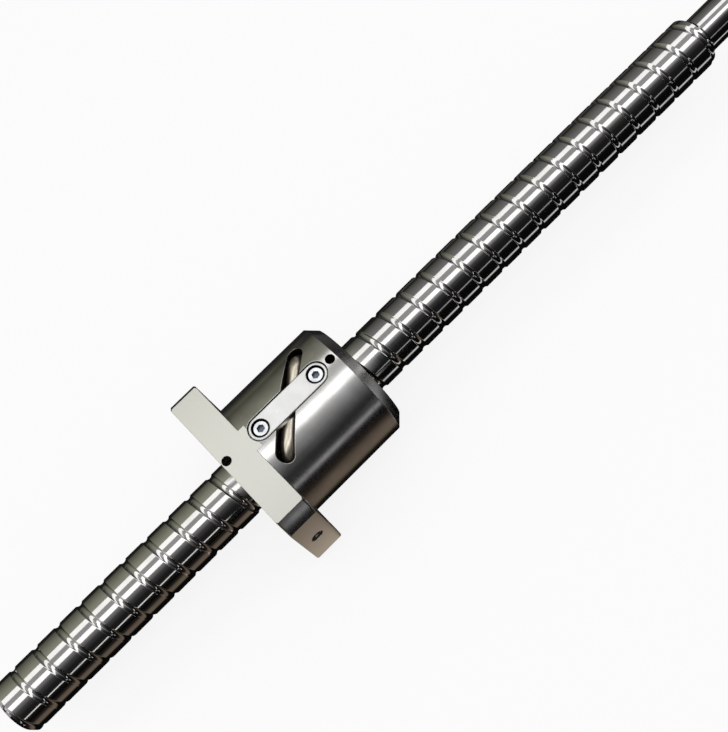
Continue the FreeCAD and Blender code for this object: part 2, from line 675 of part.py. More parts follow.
for item in doc.Objects:
    if "Invalid" in item.State or "Error" in item.State:
        raise RuntimeError(f"{item.Label} failed: {item.State}")
for node in nodes:
    if node.Shape.isNull() or not node.Shape.isValid():
        raise RuntimeError(f"{node.Label} has no valid shape")

os.makedirs("parts", exist_ok=True)
for node in nodes:
    node.Shape.exportStep(f"parts/{node.Label}.step")
    print(node.Label, len(node.Shape.Solids), round(node.Shape.Volume, 3))
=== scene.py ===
"""Looks of a steel ball screw: a ground ball thread in a flanged nut with an outside return tube.

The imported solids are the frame. The shaft is remade with a finer thread whose groove edges are
broken, and every other piece keeps its solid and gets the finish of the real one.
"""
import logging
import math
from dataclasses import dataclass, field
from enum import Enum
from typing import Any

import bmesh
import bpy
from mathutils import Matrix, Vector


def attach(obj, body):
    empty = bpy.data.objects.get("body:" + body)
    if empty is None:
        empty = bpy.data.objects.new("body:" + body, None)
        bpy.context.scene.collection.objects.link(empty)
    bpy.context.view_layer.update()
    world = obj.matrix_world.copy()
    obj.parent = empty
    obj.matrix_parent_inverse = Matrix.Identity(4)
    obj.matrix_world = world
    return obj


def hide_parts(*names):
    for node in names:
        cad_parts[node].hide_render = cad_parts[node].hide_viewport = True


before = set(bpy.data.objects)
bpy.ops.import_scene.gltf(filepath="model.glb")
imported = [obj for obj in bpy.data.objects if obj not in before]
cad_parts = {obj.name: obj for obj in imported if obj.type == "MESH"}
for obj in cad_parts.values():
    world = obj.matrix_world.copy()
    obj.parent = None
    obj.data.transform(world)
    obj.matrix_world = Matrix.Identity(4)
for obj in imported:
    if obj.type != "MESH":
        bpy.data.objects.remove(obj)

LOG = logging.getLogger("ball_screw")
MM = 0.001
IMAGE_WIDTH = 728
SENSOR_MM = 36.0
FULL_TURN = math.tau
ENDS = ("front", "rear")

# the colours of the background, as the camera sees it, and of the paper that takes the shadow
BACKGROUND = "#fdfdfd"
PAPER = "#f4f4f2"

# noise keeps to the middle of its range, so these stretches of it are spread over gloss and tint
GLOSS_STRETCH = (0.35, 0.65)
TINT_STRETCH = (0.3, 0.7)
NOISE_DETAIL = 3.0
EDGE_SAMPLES = 8

# a surface is flat to the axes where the largest part of its normal is above this
FLAT_NORMAL = 0.99999

# real tool marks are a few hundredths of a millimetre apart; they are drawn coarser, this far apart, so
# that they show
MARK_SPACING_MM = 0.9


class Body(Enum):
    """The rigid bodies that the pieces made here ride on."""

    NUT = "nut"
    SCREW = "screw"


class Shade(Enum):
    """The shades of the studio's cloth and cards."""

    BLACK = "#0d0d0d"
    CHARCOAL = "#262626"
    SLATE = "#4a4a4b"
    GREY = "#8a8a8c"
    PALE_GREY = "#b4b4b6"
    SILVER = "#c8c8ca"
    WHITE = "#e8eaea"
    DARK_OLIVE = "#44443a"
    OLIVE = "#66675a"
    PALE_OLIVE = "#a4a596"
    DARK_BROWN = "#2a2420"
    BROWN = "#786b5f"
    TAN = "#cfbfb0"


class Lay(Enum):
    """The direction of the marks that a tool leaves, as stretch factors along X, Y and Z."""

    AROUND = (1.0, 0.02, 0.02)
    NONE = (1.0, 1.0, 1.0)


def linear(colour: str) -> tuple[float, float, float, float]:
    """Turn an sRGB hex colour into a linear one, by the curve of the sRGB standard.

    Args:
        colour: the colour as #rrggbb.

    Returns:
        Linear red, green and blue, and an alpha of 1.
    """
    values = []
    for start in (1, 3, 5):
        share = int(colour[start : start + 2], 16) / 255.0
        values.append(share / 12.92 if share <= 0.04045 else ((share + 0.055) / 1.055) ** 2.4)
    return (values[0], values[1], values[2], 1.0)


def add_node(
    tree: bpy.types.NodeTree, kind: str, inputs: dict[Any, Any] | None = None, **settings: Any
) -> bpy.types.Node:
    """Add a node, set its properties and set or link its inputs.

    Args:
        tree: the tree that gets the node.
        kind: the node's type.
        inputs: values or output sockets, by the name or number of the input.
        settings: properties of the node, by name.

    Returns:
        The new node.
    """
    node = tree.nodes.new(kind)
    for name, value in settings.items():
        setattr(node, name, value)
    for name, value in (inputs or {}).items():
        if isinstance(value, bpy.types.NodeSocket):
            tree.links.new(value, node.inputs[name])
        else:
            node.inputs[name].default_value = value
    return node


def new_material(name: str) -> bpy.types.Material:
    """Make an empty node material.

    Args:
        name: the name of the finish.

    Returns:
        A material whose tree has no nodes yet.
    """
    material = bpy.data.materials.new(name)
    material.use_nodes = True
    material.node_tree.nodes.clear()
    return material


@dataclass(frozen=True)
class Overlay:
    """A zone of a surface that has another tint and gloss, where its mask is 1."""

    mask: bpy.types.NodeSocket
    tint: str
    roughness: float


@dataclass(frozen=True)
class SteelFinish:
    """A bare steel surface: its tint, its gloss and the marks of the tool that made it."""

    name: str
    slot: str
    tint: str
    worn_tint: str
    roughness: float
    roughness_swing: float
    lay: Lay
    mark_spacing_mm: float
    mark_depth_mm: float
    cloud_size_mm: float
    edge_break_mm: float

    def overlays(self, tree: bpy.types.NodeTree, coords: bpy.types.Node) -> list[Overlay]:
        """The zones with another look, none on a surface that is the same all over."""
        return []

    def material(self) -> bpy.types.Material:
        """Build the node material.

        Returns:
            Bare metal with tool marks along the lay, cloudy gloss and softened edges.
        """
        material = new_material(self.name)
        tree = material.node_tree
        coords = add_node(tree, "ShaderNodeTexCoord")
        stretch = tuple(factor / (self.mark_spacing_mm * MM) for factor in self.lay.value)
        place = coords.outputs["Object"]
        along = add_node(tree, "ShaderNodeMapping", {"Vector": place, "Scale": stretch})
        marks = add_node(
            tree,
            "ShaderNodeTexNoise",
            {"Vector": along.outputs["Vector"], "Scale": 1.0, "Detail": NOISE_DETAIL},
        )
        clouds = add_node(
            tree,
            "ShaderNodeTexNoise",
            {"Vector": place, "Scale": 1.0 / (self.cloud_size_mm * MM), "Detail": NOISE_DETAIL},
        )
        both = add_node(
            tree,
            "ShaderNodeMix",
            {0: 0.5, 2: marks.outputs[0], 3: clouds.outputs[0]},
            data_type="FLOAT",
        )
        gloss = add_node(
            tree,
            "ShaderNodeMapRange",
            {
                "Value": both.outputs[0],
                "From Min": GLOSS_STRETCH[0],
                "From Max": GLOSS_STRETCH[1],
                "To Min": self.roughness - self.roughness_swing,
                "To Max": self.roughness + self.roughness_swing,
            },
        ).outputs["Result"]
        stain = add_node(
            tree,
            "ShaderNodeMapRange",
            {"Value": clouds.outputs[0], "From Min": TINT_STRETCH[0], "From Max": TINT_STRETCH[1]},
        )
        tint = add_node(
            tree,
            "ShaderNodeMix",
            {0: stain.outputs["Result"], 6: linear(self.tint), 7: linear(self.worn_tint)},
            data_type="RGBA",
        ).outputs[2]
        for zone in self.overlays(tree, coords):
            tint = add_node(
                tree,
                "ShaderNodeMix",
                {0: zone.mask, 6: tint, 7: linear(zone.tint)},
                data_type="RGBA",
            ).outputs[2]
            gloss = add_node(
                tree,
                "ShaderNodeMix",
                {0: zone.mask, 2: gloss, 3: zone.roughness},
                data_type="FLOAT",
            ).outputs[0]
        edges = add_node(
            tree, "ShaderNodeBevel", {"Radius": self.edge_break_mm * MM}, samples=EDGE_SAMPLES
        )
        relief = add_node(
            tree,
            "ShaderNodeBump",
            {
                "Strength": 1.0,
                "Distance": self.mark_depth_mm * MM,
                "Height": marks.outputs[0],
                "Normal": edges.outputs["Normal"],
            },
        )
        shader = add_node(
            tree,
            "ShaderNodeBsdfPrincipled",
            {
                "Base Color": tint,
                "Metallic": 1.0,
                "Roughness": gloss,
                "Normal": relief.outputs["Normal"],
            },
        )
        add_node(tree, "ShaderNodeOutputMaterial", {"Surface": shader.outputs["BSDF"]})
        return material


@dataclass(frozen=True)
class NutFinish(SteelFinish):
    """Steel that is polished where it was turned, satin on its flats, with painted shade in its
    pockets.
    """

    flat_tint: str
    flat_roughness: float
    pocket_shade_tint: str
    pocket_shade_roughness: float
    pocket_shade_radius_mm: float
    pocket_shade_first_mm: float
    pocket_shade_last_mm: float

    def overlays(self, tree: bpy.types.NodeTree, coords: bpy.types.Node) -> list[Overlay]:
        """The flats, found by their normals, and the pockets, found by their depth under the body.

        Args:
            tree: the material's tree.
            coords: its texture coordinates.

        Returns:
            The satin flats and the painted shade of the pockets.
        """
        facing = add_node(
            tree, "ShaderNodeVectorMath", {0: coords.outputs["Normal"]}, operation="ABSOLUTE"
        )
        sides = add_node(tree, "ShaderNodeSeparateXYZ", {0: facing.outputs[0]}).outputs
        most = sides["X"]
        for side in ("Y", "Z"):
            most = add_node(
                tree, "ShaderNodeMath", {0: most, 1: sides[side]}, operation="MAXIMUM"
            ).outputs[0]
        flat = add_node(tree, "ShaderNodeMath", {0: most, 1: FLAT_NORMAL}, operation="GREATER_THAN")
        place = add_node(tree, "ShaderNodeSeparateXYZ", {0: coords.outputs["Object"]})
        across = add_node(
            tree, "ShaderNodeCombineXYZ", {"Y": place.outputs["Y"], "Z": place.outputs["Z"]}
        )
        radius = add_node(tree, "ShaderNodeVectorMath", {0: across.outputs[0]}, operation="LENGTH")
        deep = add_node(
            tree,
            "ShaderNodeMath",
            {0: radius.outputs["Value"], 1: self.pocket_shade_radius_mm * MM},
            operation="LESS_THAN",
        )
        middle = (self.pocket_shade_first_mm + self.pocket_shade_last_mm) / 2 * MM
        half = (self.pocket_shade_last_mm - self.pocket_shade_first_mm) / 2 * MM
        inside = add_node(
            tree, "ShaderNodeMath", {0: place.outputs["X"], 1: middle, 2: half}, operation="COMPARE"
        )
        # a dark tint on the pocket walls: painted shade
        pocket_shade = add_node(
            tree, "ShaderNodeMath", {0: deep.outputs[0], 1: inside.outputs[0]}, operation="MULTIPLY"
        )
        return [
            Overlay(flat.outputs[0], self.flat_tint, self.flat_roughness),
            Overlay(pocket_shade.outputs[0], self.pocket_shade_tint, self.pocket_shade_roughness),
        ]


@dataclass(frozen=True)
class RecessedFinish(SteelFinish):
    """Plated steel whose round recesses get a dark tint, painted shade, between two heights."""

    recess_shade_tint: str
    recess_shade_roughness: float
    recess_shade_from_mm: float
    recess_shade_to_mm: float
    recess_shade_radius_mm: float
    screw_places_mm: tuple[tuple[float, float], ...]

    def overlays(self, tree: bpy.types.NodeTree, coords: bpy.types.Node) -> list[Overlay]:
        """The walls of the recesses, found by their height and their distance from a screw's axis.

        Args:
            tree: the material's tree.
            coords: its texture coordinates.

        Returns:
            The walls around each screw, with a dark tint that is painted shade.
        """
        place = add_node(tree, "ShaderNodeSeparateXYZ", {0: coords.outputs["Object"]}).outputs
        flat = add_node(tree, "ShaderNodeCombineXYZ", {"X": place["X"], "Y": place["Y"]})
        middle = (self.recess_shade_from_mm + self.recess_shade_to_mm) / 2 * MM
        half = (self.recess_shade_to_mm - self.recess_shade_from_mm) / 2 * MM
        level = add_node(
            tree, "ShaderNodeMath", {0: place["Z"], 1: middle, 2: half}, operation="COMPARE"
        )
        zones = []
        for x, y in self.screw_places_mm:
            away = add_node(
                tree,
                "ShaderNodeVectorMath",
                {0: flat.outputs[0], 1: (x * MM, y * MM, 0.0)},
                operation="DISTANCE",
            )
            near = add_node(
                tree,
                "ShaderNodeMath",
                {0: away.outputs["Value"], 1: self.recess_shade_radius_mm * MM},
                operation="LESS_THAN",
            )
            # a dark tint on the recess walls near each screw: painted shade
            recess_shade = add_node(
                tree,
                "ShaderNodeMath",
                {0: level.outputs[0], 1: near.outputs[0]},
                operation="MULTIPLY",
            )
            zones.append(Overlay(recess_shade.outputs[0], self.recess_shade_tint, self.recess_shade_roughness))
        return zones


@dataclass(frozen=True)
class ResinFinish:
    """A moulded engineering resin: matt, with the fine grain of its mould."""

    name: str
    slot: str
    tint: str
    worn_tint: str
    roughness: float
    grain_mm: float
    grain_depth_mm: float
    ior: float

    def material(self) -> bpy.types.Material:
        """Build the node material.

        Returns:
            A matt plastic with a grained surface.
        """
        material = new_material(self.name)
        tree = material.node_tree
        coords = add_node(tree, "ShaderNodeTexCoord")
        grain = add_node(
            tree,
            "ShaderNodeTexNoise",
            {
                "Vector": coords.outputs["Object"],
                "Scale": 1.0 / (self.grain_mm * MM),
                "Detail": NOISE_DETAIL,
            },
        )
        tint = add_node(
            tree,
            "ShaderNodeMix",
            {0: grain.outputs[0], 6: linear(self.tint), 7: linear(self.worn_tint)},
            data_type="RGBA",
        )
        relief = add_node(
            tree,
            "ShaderNodeBump",
            {"Distance": self.grain_depth_mm * MM, "Height": grain.outputs[0]},
        )
        shader = add_node(
            tree,
            "ShaderNodeBsdfPrincipled",
            {
                "Base Color": tint.outputs[2],
                "Roughness": self.roughness,
                "IOR": self.ior,
                "Normal": relief.outputs["Normal"],
            },
        )
        add_node(tree, "ShaderNodeOutputMaterial", {"Surface": shader.outputs["BSDF"]})
        return material


# where the axes of the clamp's two screws stand
CLAMP_SCREWS_MM = ((7.0, 0.0), (37.0, 0.0))

# hardened bearing steel, ground and polished: bright, with hardly any marks around the shaft
GROUND_SHAFT = SteelFinish(
    name="ground_bearing_steel",
    slot="ground_screw_steel",
    tint="#cac9c7",
    worn_tint="#c0bebb",
    roughness=0.08,
    roughness_swing=0.03,
    lay=Lay.AROUND,
    mark_spacing_mm=MARK_SPACING_MM,
    mark_depth_mm=0.0002,
    cloud_size_mm=7.0,
    edge_break_mm=0.05,
)
# the nut is polished where it was turned, with soft smears of oil along it; its flats are ground to a
# smooth satin, and its pockets get a dark tint that is painted shade
GROUND_NUT = NutFinish(
    name="ground_nut_steel",
    slot="nut_steel",
    tint="#cbcac8",
    worn_tint="#b9b7b4",
    roughness=0.2,
    roughness_swing=0.02,
    lay=Lay.AROUND,
    mark_spacing_mm=MARK_SPACING_MM,
    mark_depth_mm=0.0003,
    cloud_size_mm=9.0,
    edge_break_mm=0.35,
    flat_tint="#c2c2bb",
    flat_roughness=0.3,
    pocket_shade_tint="#3a3633",
    pocket_shade_roughness=0.42,
    pocket_shade_radius_mm=27.6,
    pocket_shade_first_mm=3.05,
    pocket_shade_last_mm=48.3,
)
# drawn tube, bent and wiped: a broad satin shine with a warm oily film
DRAWN_TUBE = SteelFinish(
    name="drawn_tube_steel",
    slot="tube_steel",
    tint="#e6decf",
    worn_tint="#d2c8b6",
    roughness=0.34,
    roughness_swing=0.04,
    lay=Lay.NONE,
    mark_spacing_mm=MARK_SPACING_MM,
    mark_depth_mm=0.0002,
    cloud_size_mm=6.0,
    edge_break_mm=0.12,
)
# plated pressing: pale satin, with painted shade down in its counterbores
PLATED_CLAMP = RecessedFinish(
    name="satin_plated_steel",
    slot="clamp_steel",
    tint="#d2d2d1",
    worn_tint="#cacac9",
    roughness=0.3,
    roughness_swing=0.03,
    lay=Lay.NONE,
    mark_spacing_mm=MARK_SPACING_MM,
    mark_depth_mm=0.0002,
    cloud_size_mm=9.0,
    edge_break_mm=0.5,
    recess_shade_tint="#1c1b1a",
    recess_shade_roughness=0.4,
    recess_shade_from_mm=24.0,
    recess_shade_to_mm=27.55,
    recess_shade_radius_mm=4.2,
    screw_places_mm=CLAMP_SCREWS_MM,
)
# turned and plated screw heads: a cool tint, with painted shade on their flanks and in their sockets
PLATED_SCREW = RecessedFinish(
    name="turned_plated_steel",
    slot="cap_screw_steel",
    tint="#d6d8da",
    worn_tint="#c4c7cb",
    roughness=0.24,
    roughness_swing=0.05,
    lay=Lay.NONE,
    mark_spacing_mm=MARK_SPACING_MM,
    mark_depth_mm=0.0003,
    cloud_size_mm=2.0,
    edge_break_mm=0.1,
    recess_shade_tint="#626873",
    recess_shade_roughness=0.35,
    recess_shade_from_mm=25.9,
    recess_shade_to_mm=27.3,
    recess_shade_radius_mm=4.0,
    screw_places_mm=CLAMP_SCREWS_MM,
)
# black oxide on set screws: dark and dull, with a grain drawn coarser than it is so that it shows
BLACK_OXIDE = SteelFinish(
    name="black_oxide_steel",
    slot="blackened_steel",
    tint="#2a2928",
    worn_tint="#1d1c1c",
    roughness=0.4,
    roughness_swing=0.06,
    lay=Lay.NONE,
    mark_spacing_mm=0.3,
    mark_depth_mm=0.001,
    cloud_size_mm=2.0,
    edge_break_mm=0.1,
)
# lapped balls: a mirror with nothing on it but a faint cloud, its marks drawn coarser than they are
LAPPED_BALL = SteelFinish(
    name="lapped_ball_steel",
    slot="ball_steel",
    tint="#d2d2d0",
    worn_tint="#cacac8",
    roughness=0.06,
    roughness_swing=0.02,
    lay=Lay.NONE,
    mark_spacing_mm=0.5,
    mark_depth_mm=0.0001,
    cloud_size_mm=2.0,
    edge_break_mm=0.05,
)
# moulded wiper resin: black and matt, with its mould's grain drawn coarser than it is so that it shows
WIPER_RESIN = ResinFinish(
    name="moulded_wiper_resin",
    slot="wiper_plastic",
    tint="#242424",
    worn_tint="#2e2d2c",
    roughness=0.5,
    grain_mm=0.4,
    grain_depth_mm=0.01,
    ior=1.5,
)


def link(thing: bpy.types.Object) -> bpy.types.Object:
    """Put an object into the scene."""
    bpy.context.scene.collection.objects.link(thing)
    return thing


def baked(thing: bpy.types.Object, name: str) -> bpy.types.Object:
    """Replace an object and its modifiers by a plain mesh object.

    Args:
        thing: the object, which is removed.
        name: the name of the plain one.

    Returns:
        An object at the origin without modifiers.
    """
    bpy.context.view_layer.update()
    graph = bpy.context.evaluated_depsgraph_get()
    mesh = bpy.data.meshes.new_from_object(thing.evaluated_get(graph))
    mesh.name = name
    bpy.data.objects.remove(thing)
    return link(bpy.data.objects.new(name, mesh))


def dress(node: str, material: bpy.types.Material) -> None:
    """Give a node of the frame its finish.

    Args:
        node: the node's name.
        material: the finish.
    """
    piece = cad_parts[node]
    piece.data.materials.clear()
    piece.data.materials.append(material)
    LOG.info("%s: %s", node, material.name)


def close_ends(thing: bpy.types.Object, on_axis: bool) -> None:
    """Close the two open ends of a swept mesh with fans.

    Args:
        thing: the swept mesh, which runs along X.
        on_axis: whether the fans meet on the X axis, or else in the middle of each rim.
    """
    shape = bmesh.new()
    shape.from_mesh(thing.data)
    middle = sum(v.co.x for v in shape.verts) / len(shape.verts)
    for side in (-1, 1):
        rim = [e for e in shape.edges if e.is_boundary and (e.verts[0].co.x - middle) * side > 0]
        centre = sum(((e.verts[0].co + e.verts[1].co) / 2 for e in rim), Vector()) / len(rim)
        if on_axis:
            centre = Vector((centre.x, 0.0, 0.0))
        corner = shape.verts.new(centre)
        for edge in rim:
            shape.faces.new((edge.verts[0], edge.verts[1], corner))
    bmesh.ops.recalc_face_normals(shape, faces=shape.faces)
    shape.to_mesh(thing.data)
    shape.free()


def weld(thing: bpy.types.Object, distance_mm: float) -> None:
    """Merge the doubles of a mesh and the slivers between them.

    Args:
        thing: the mesh, as a cut leaves it.
        distance_mm: how far apart points may be that become one.
    """
    shape = bmesh.new()
    shape.from_mesh(thing.data)
    bmesh.ops.remove_doubles(shape, verts=shape.verts, dist=distance_mm * MM)
    bmesh.ops.dissolve_degenerate(shape, edges=shape.edges, dist=distance_mm * MM)
    shape.to_mesh(thing.data)
    shape.free()


@dataclass
class HelixSweep:
    """A section swept along a helix about the X axis."""

    name: str
    section_mm: list[tuple[float, float]]
    lead_mm: float
    start_mm: float
    turns: int
    steps: int
    weld_mm: float = 0.002

    def tree(self) -> bpy.types.NodeTree:
        """The node tree that sweeps a chain of points along a helix about X.

        Returns:
            A tree with named inputs for the helix and the finish.
        """
        tree = bpy.data.node_groups.new("helix_sweep", "GeometryNodeTree")
        tree.interface.new_socket("Section", in_out="INPUT", socket_type="NodeSocketGeometry")
        for name, kind in (
            ("Lead", "NodeSocketFloat"),
            ("Start", "NodeSocketFloat"),
            ("Turns", "NodeSocketInt"),
            ("Steps", "NodeSocketInt"),
            ("Finish", "NodeSocketMaterial"),
        ):
            tree.interface.new_socket(name, in_out="INPUT", socket_type=kind)
        tree.interface.new_socket("Thread", in_out="OUTPUT", socket_type="NodeSocketGeometry")
        given = add_node(tree, "NodeGroupInput").outputs
        count = add_node(
            tree,
            "GeometryNodeAttributeDomainSize",
            {"Geometry": given["Section"]},
            component="MESH",
        ).outputs["Point Count"]
        rings = add_node(
            tree,
            "ShaderNodeMath",
            {0: given["Turns"], 1: given["Steps"], 2: 1.0},
            operation="MULTIPLY_ADD",
        ).outputs[0]
        grid = add_node(tree, "GeometryNodeMeshGrid", {"Vertices X": rings, "Vertices Y": count})
        index = add_node(tree, "GeometryNodeInputIndex").outputs[0]
        along = add_node(
            tree, "ShaderNodeMath", {0: index, 1: count}, operation="MODULO"
        ).outputs[0]
        ring = add_node(tree, "ShaderNodeMath", {0: index, 1: count}, operation="DIVIDE").outputs[0]
        ring = add_node(tree, "ShaderNodeMath", {0: ring}, operation="FLOOR").outputs[0]
        turn = add_node(
            tree, "ShaderNodeMath", {0: ring, 1: given["Steps"]}, operation="DIVIDE"
        ).outputs[0]
        angle = add_node(
            tree, "ShaderNodeMath", {0: turn, 1: FULL_TURN}, operation="MULTIPLY"
        ).outputs[0]
        place = add_node(tree, "GeometryNodeInputPosition").outputs[0]
        sampled = add_node(
            tree,
            "GeometryNodeSampleIndex",
            {"Geometry": given["Section"], "Value": place, "Index": along},
            data_type="FLOAT_VECTOR",
            domain="POINT",
        )
        section = add_node(tree, "ShaderNodeSeparateXYZ", {0: sampled.outputs[0]})
        advance = add_node(
            tree,
            "ShaderNodeMath",
            {0: turn, 1: given["Lead"], 2: given["Start"]},
            operation="MULTIPLY_ADD",
        ).outputs[0]
        x = add_node(
            tree, "ShaderNodeMath", {0: advance, 1: section.outputs["X"]}, operation="ADD"
        ).outputs[0]
        out = section.outputs["Y"]
        cosine = add_node(tree, "ShaderNodeMath", {0: angle}, operation="COSINE").outputs[0]
        sine = add_node(tree, "ShaderNodeMath", {0: angle}, operation="SINE").outputs[0]
        y = add_node(tree, "ShaderNodeMath", {0: out, 1: cosine}, operation="MULTIPLY").outputs[0]
        z = add_node(tree, "ShaderNodeMath", {0: out, 1: sine}, operation="MULTIPLY").outputs[0]
        swept = add_node(tree, "ShaderNodeCombineXYZ", {"X": x, "Y": y, "Z": z}).outputs[0]
        moved = add_node(
            tree, "GeometryNodeSetPosition", {"Geometry": grid.outputs["Mesh"], "Position": swept}
        ).outputs[0]
        welded = add_node(
            tree, "GeometryNodeMergeByDistance", {"Geometry": moved, "Distance": self.weld_mm * MM}
        ).outputs[0]
        real = add_node(tree, "GeometryNodeRealizeInstances", {"Geometry": welded}).outputs[0]
        finished = add_node(
            tree, "GeometryNodeSetMaterial", {"Geometry": real, "Material": given["Finish"]}
        ).outputs[0]
        add_node(tree, "NodeGroupOutput", {"Thread": finished})
        return tree

    def build(self, material: bpy.types.Material) -> bpy.types.Object:
        """Sweep the section.

        Args:
            material: the finish of the mesh.

        Returns:
            A plain mesh, open at both ends.
        """
        points = [(x * MM, r * MM, 0.0) for x, r in self.section_mm]
        mesh = bpy.data.meshes.new(self.name)
        mesh.from_pydata(points, [(i, i + 1) for i in range(len(points) - 1)], [])
        wire = link(bpy.data.objects.new(self.name, mesh))
        tree = self.tree()
        sweep = wire.modifiers.new("sweep", "NODES")
        sweep.node_group = tree
        values = {
            "Lead": self.lead_mm * MM,
            "Start": self.start_mm * MM,
            "Turns": self.turns,
            "Steps": self.steps,
            "Finish": material,
        }
        for item in tree.interface.items_tree:
            if item.name in values:
                sweep[item.identifier] = values[item.name]
        return baked(wire, self.name)


@dataclass
class ScrewShaft:
    """The threaded shaft: a ball groove swept along a helix, trimmed to the turned blank."""

    land_radius_mm: float = 12.5
    lead_mm: float = 12.0
    ball_circle_mm: float = 13.8
    groove_radius_mm: float = 2.05
    groove_at_mm: float = 1.0
    # the groove's edge is broken: its width on the land, its drop, and how much of it is in the groove
    edge_break_mm: float = 0.07
    edge_drop_mm: float = 0.03
    edge_share: float = 0.6
    land_margin_mm: float = 0.15
    left_mm: float = -140.5
    shoulder_mm: float = 261.5
    tip_mm: float = 287.5
    thread_chamfer_mm: float = 2.2
    journal_radius_mm: float = 9.0
    journal_chamfer_mm: float = 1.2
    centre_radius_mm: float = 3.0
    blank_proud_mm: float = 0.2
    sharp_deg: float = 24.0
    steps: int = 108
    arc_steps: int = 10
    spare_turns: int = 1
    weld_mm: float = 0.006

    def profile(self) -> list[tuple[float, float]]:
        """One pitch of the thread in section.

        Returns:
            Places along the axis and radii in mm, from half a lead before the groove to half after.
        """
        top = self.land_radius_mm
        rise = self.ball_circle_mm - top
        reach = math.sqrt(self.groove_radius_mm**2 - rise**2)
        half = self.lead_mm / 2
        edge = reach + self.edge_break_mm
        wall = math.asin((reach - self.edge_break_mm * self.edge_share) / self.groove_radius_mm)
        arc = []
        for i in range(self.arc_steps + 1):
            angle = -wall + 2 * wall * i / self.arc_steps
            x = self.groove_radius_mm * math.sin(angle)
            arc.append((x, self.ball_circle_mm - self.groove_radius_mm * math.cos(angle)))
        left = [(-half, top), (-(half + edge) / 2, top), (-edge - self.land_margin_mm, top)]
        left += [(-edge, top), (-reach, top - self.edge_drop_mm)]
        right = [(-x, r) for x, r in reversed(left)]
        return left + arc + right

    def thread(self, material: bpy.types.Material) -> bpy.types.Object:
        """Sweep the thread well past both ends of the shaft and close it.

        Args:
            material: the finish of the shaft.

        Returns:
            A closed mesh that is longer than the shaft.
        """
        first = math.ceil((self.groove_at_mm - self.left_mm) / self.lead_mm) + self.spare_turns
        start = self.groove_at_mm - first * self.lead_mm
        turns = math.ceil((self.tip_mm - start) / self.lead_mm) + self.spare_turns
        sweep = HelixSweep("swept_thread", self.profile(), self.lead_mm, start, turns, self.steps)
        swept = sweep.build(material)
        close_ends(swept, on_axis=True)
        return swept

    def blank(self) -> bpy.types.Object:
        """Turn the blank, a little proud of the lands so that only its ends cut the thread.

        Returns:
            A closed mesh with chamfers, the journal and a 60 degree centre hole in each end.
        """
        proud = self.blank_proud_mm
        land = self.land_radius_mm
        depth = self.centre_radius_mm * math.sqrt(3.0)
        outline = [
            (self.left_mm + depth, 0.0),
            (self.left_mm, self.centre_radius_mm),
            (self.left_mm, land - self.thread_chamfer_mm),
            (self.left_mm + self.thread_chamfer_mm + proud, land + proud),
            (self.shoulder_mm - self.thread_chamfer_mm - proud, land + proud),
            (self.shoulder_mm, land - self.thread_chamfer_mm),
            (self.shoulder_mm, self.journal_radius_mm),
            (self.tip_mm - self.journal_chamfer_mm, self.journal_radius_mm),
            (self.tip_mm, self.journal_radius_mm - self.journal_chamfer_mm),
            (self.tip_mm, self.centre_radius_mm),
            (self.tip_mm - depth, 0.0),
        ]
        shape = bmesh.new()
        rings = []
        for x, r in outline:
            count = self.steps if r else 1
            angles = [FULL_TURN * i / count for i in range(count)]
            points = [(x * MM, r * MM * math.cos(a), r * MM * math.sin(a)) for a in angles]
            rings.append([shape.verts.new(point) for point in points])
        for low, high in zip(rings, rings[1:]):
            for i in range(self.steps):
                j = (i + 1) % self.steps
                corners = [low[i % len(low)], low[j % len(low)]]
                corners += [high[j % len(high)], high[i % len(high)]]
                shape.faces.new(dict.fromkeys(corners))
        bmesh.ops.recalc_face_normals(shape, faces=shape.faces)
        mesh = bpy.data.meshes.new("turned_blank")
        shape.to_mesh(mesh)
        shape.free()
        return link(bpy.data.objects.new("turned_blank", mesh))

    def build(self) -> bpy.types.Object:
        """Make the shaft and let it stand for its solid.

        Returns:
            The finished piece.
        """
        material = GROUND_SHAFT.material()
        thread = self.thread(material)
        blank = self.blank()
        trim = thread.modifiers.new("trim", "BOOLEAN")
        trim.operation = "INTERSECT"
        trim.solver = "EXACT"
        trim.object = blank
        shaft = baked(thread, "ball_thread_shaft")
        bpy.data.objects.remove(blank)
        weld(shaft, self.weld_mm)
        shaft.data.materials.clear()
        shaft.data.materials.append(material)
        for face in shaft.data.polygons:
            face.material_index = 0
        shaft.data.shade_smooth()
        shaft.data.set_sharp_from_angle(angle=math.radians(self.sharp_deg))
        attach(shaft, Body.SCREW.value)
        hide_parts("screw_shaft")
        LOG.info("%s: %d faces", shaft.name, len(shaft.data.polygons))
        return shaft


@dataclass
class OilPort:
    """The inside thread of the oil port in the flange's side, a ridge that winds along its wall."""

    x_mm: float = -6.85
    mouth_mm: float = -37.6
    wall_radius_mm: float = 3.04
    crest_radius_mm: float = 2.5
    pitch_mm: float = 1.0
    flank_mm: float = 0.45
    turns: int = 8
    steps: int = 48

    def build(self, material: bpy.types.Material) -> None:
        """Wind the ridge and put it into the port.

        Args:
            material: the finish of the nut.
        """
        foot, crest = self.wall_radius_mm, self.crest_radius_mm
        ridge = [(-self.flank_mm, foot), (0.0, crest), (self.flank_mm, foot), (-self.flank_mm, foot)]
        sweep = HelixSweep("oil_port_thread", ridge, self.pitch_mm, 0.0, self.turns, self.steps)
        piece = sweep.build(material)
        close_ends(piece, on_axis=False)
        inwards = Matrix.Rotation(FULL_TURN / 4, 4, "Z")
        piece.data.transform(Matrix.Translation((self.x_mm * MM, self.mouth_mm * MM, 0.0)) @ inwards)
        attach(piece, Body.NUT.value)
        LOG.info("%s: %d faces", piece.name, len(piece.data.polygons))


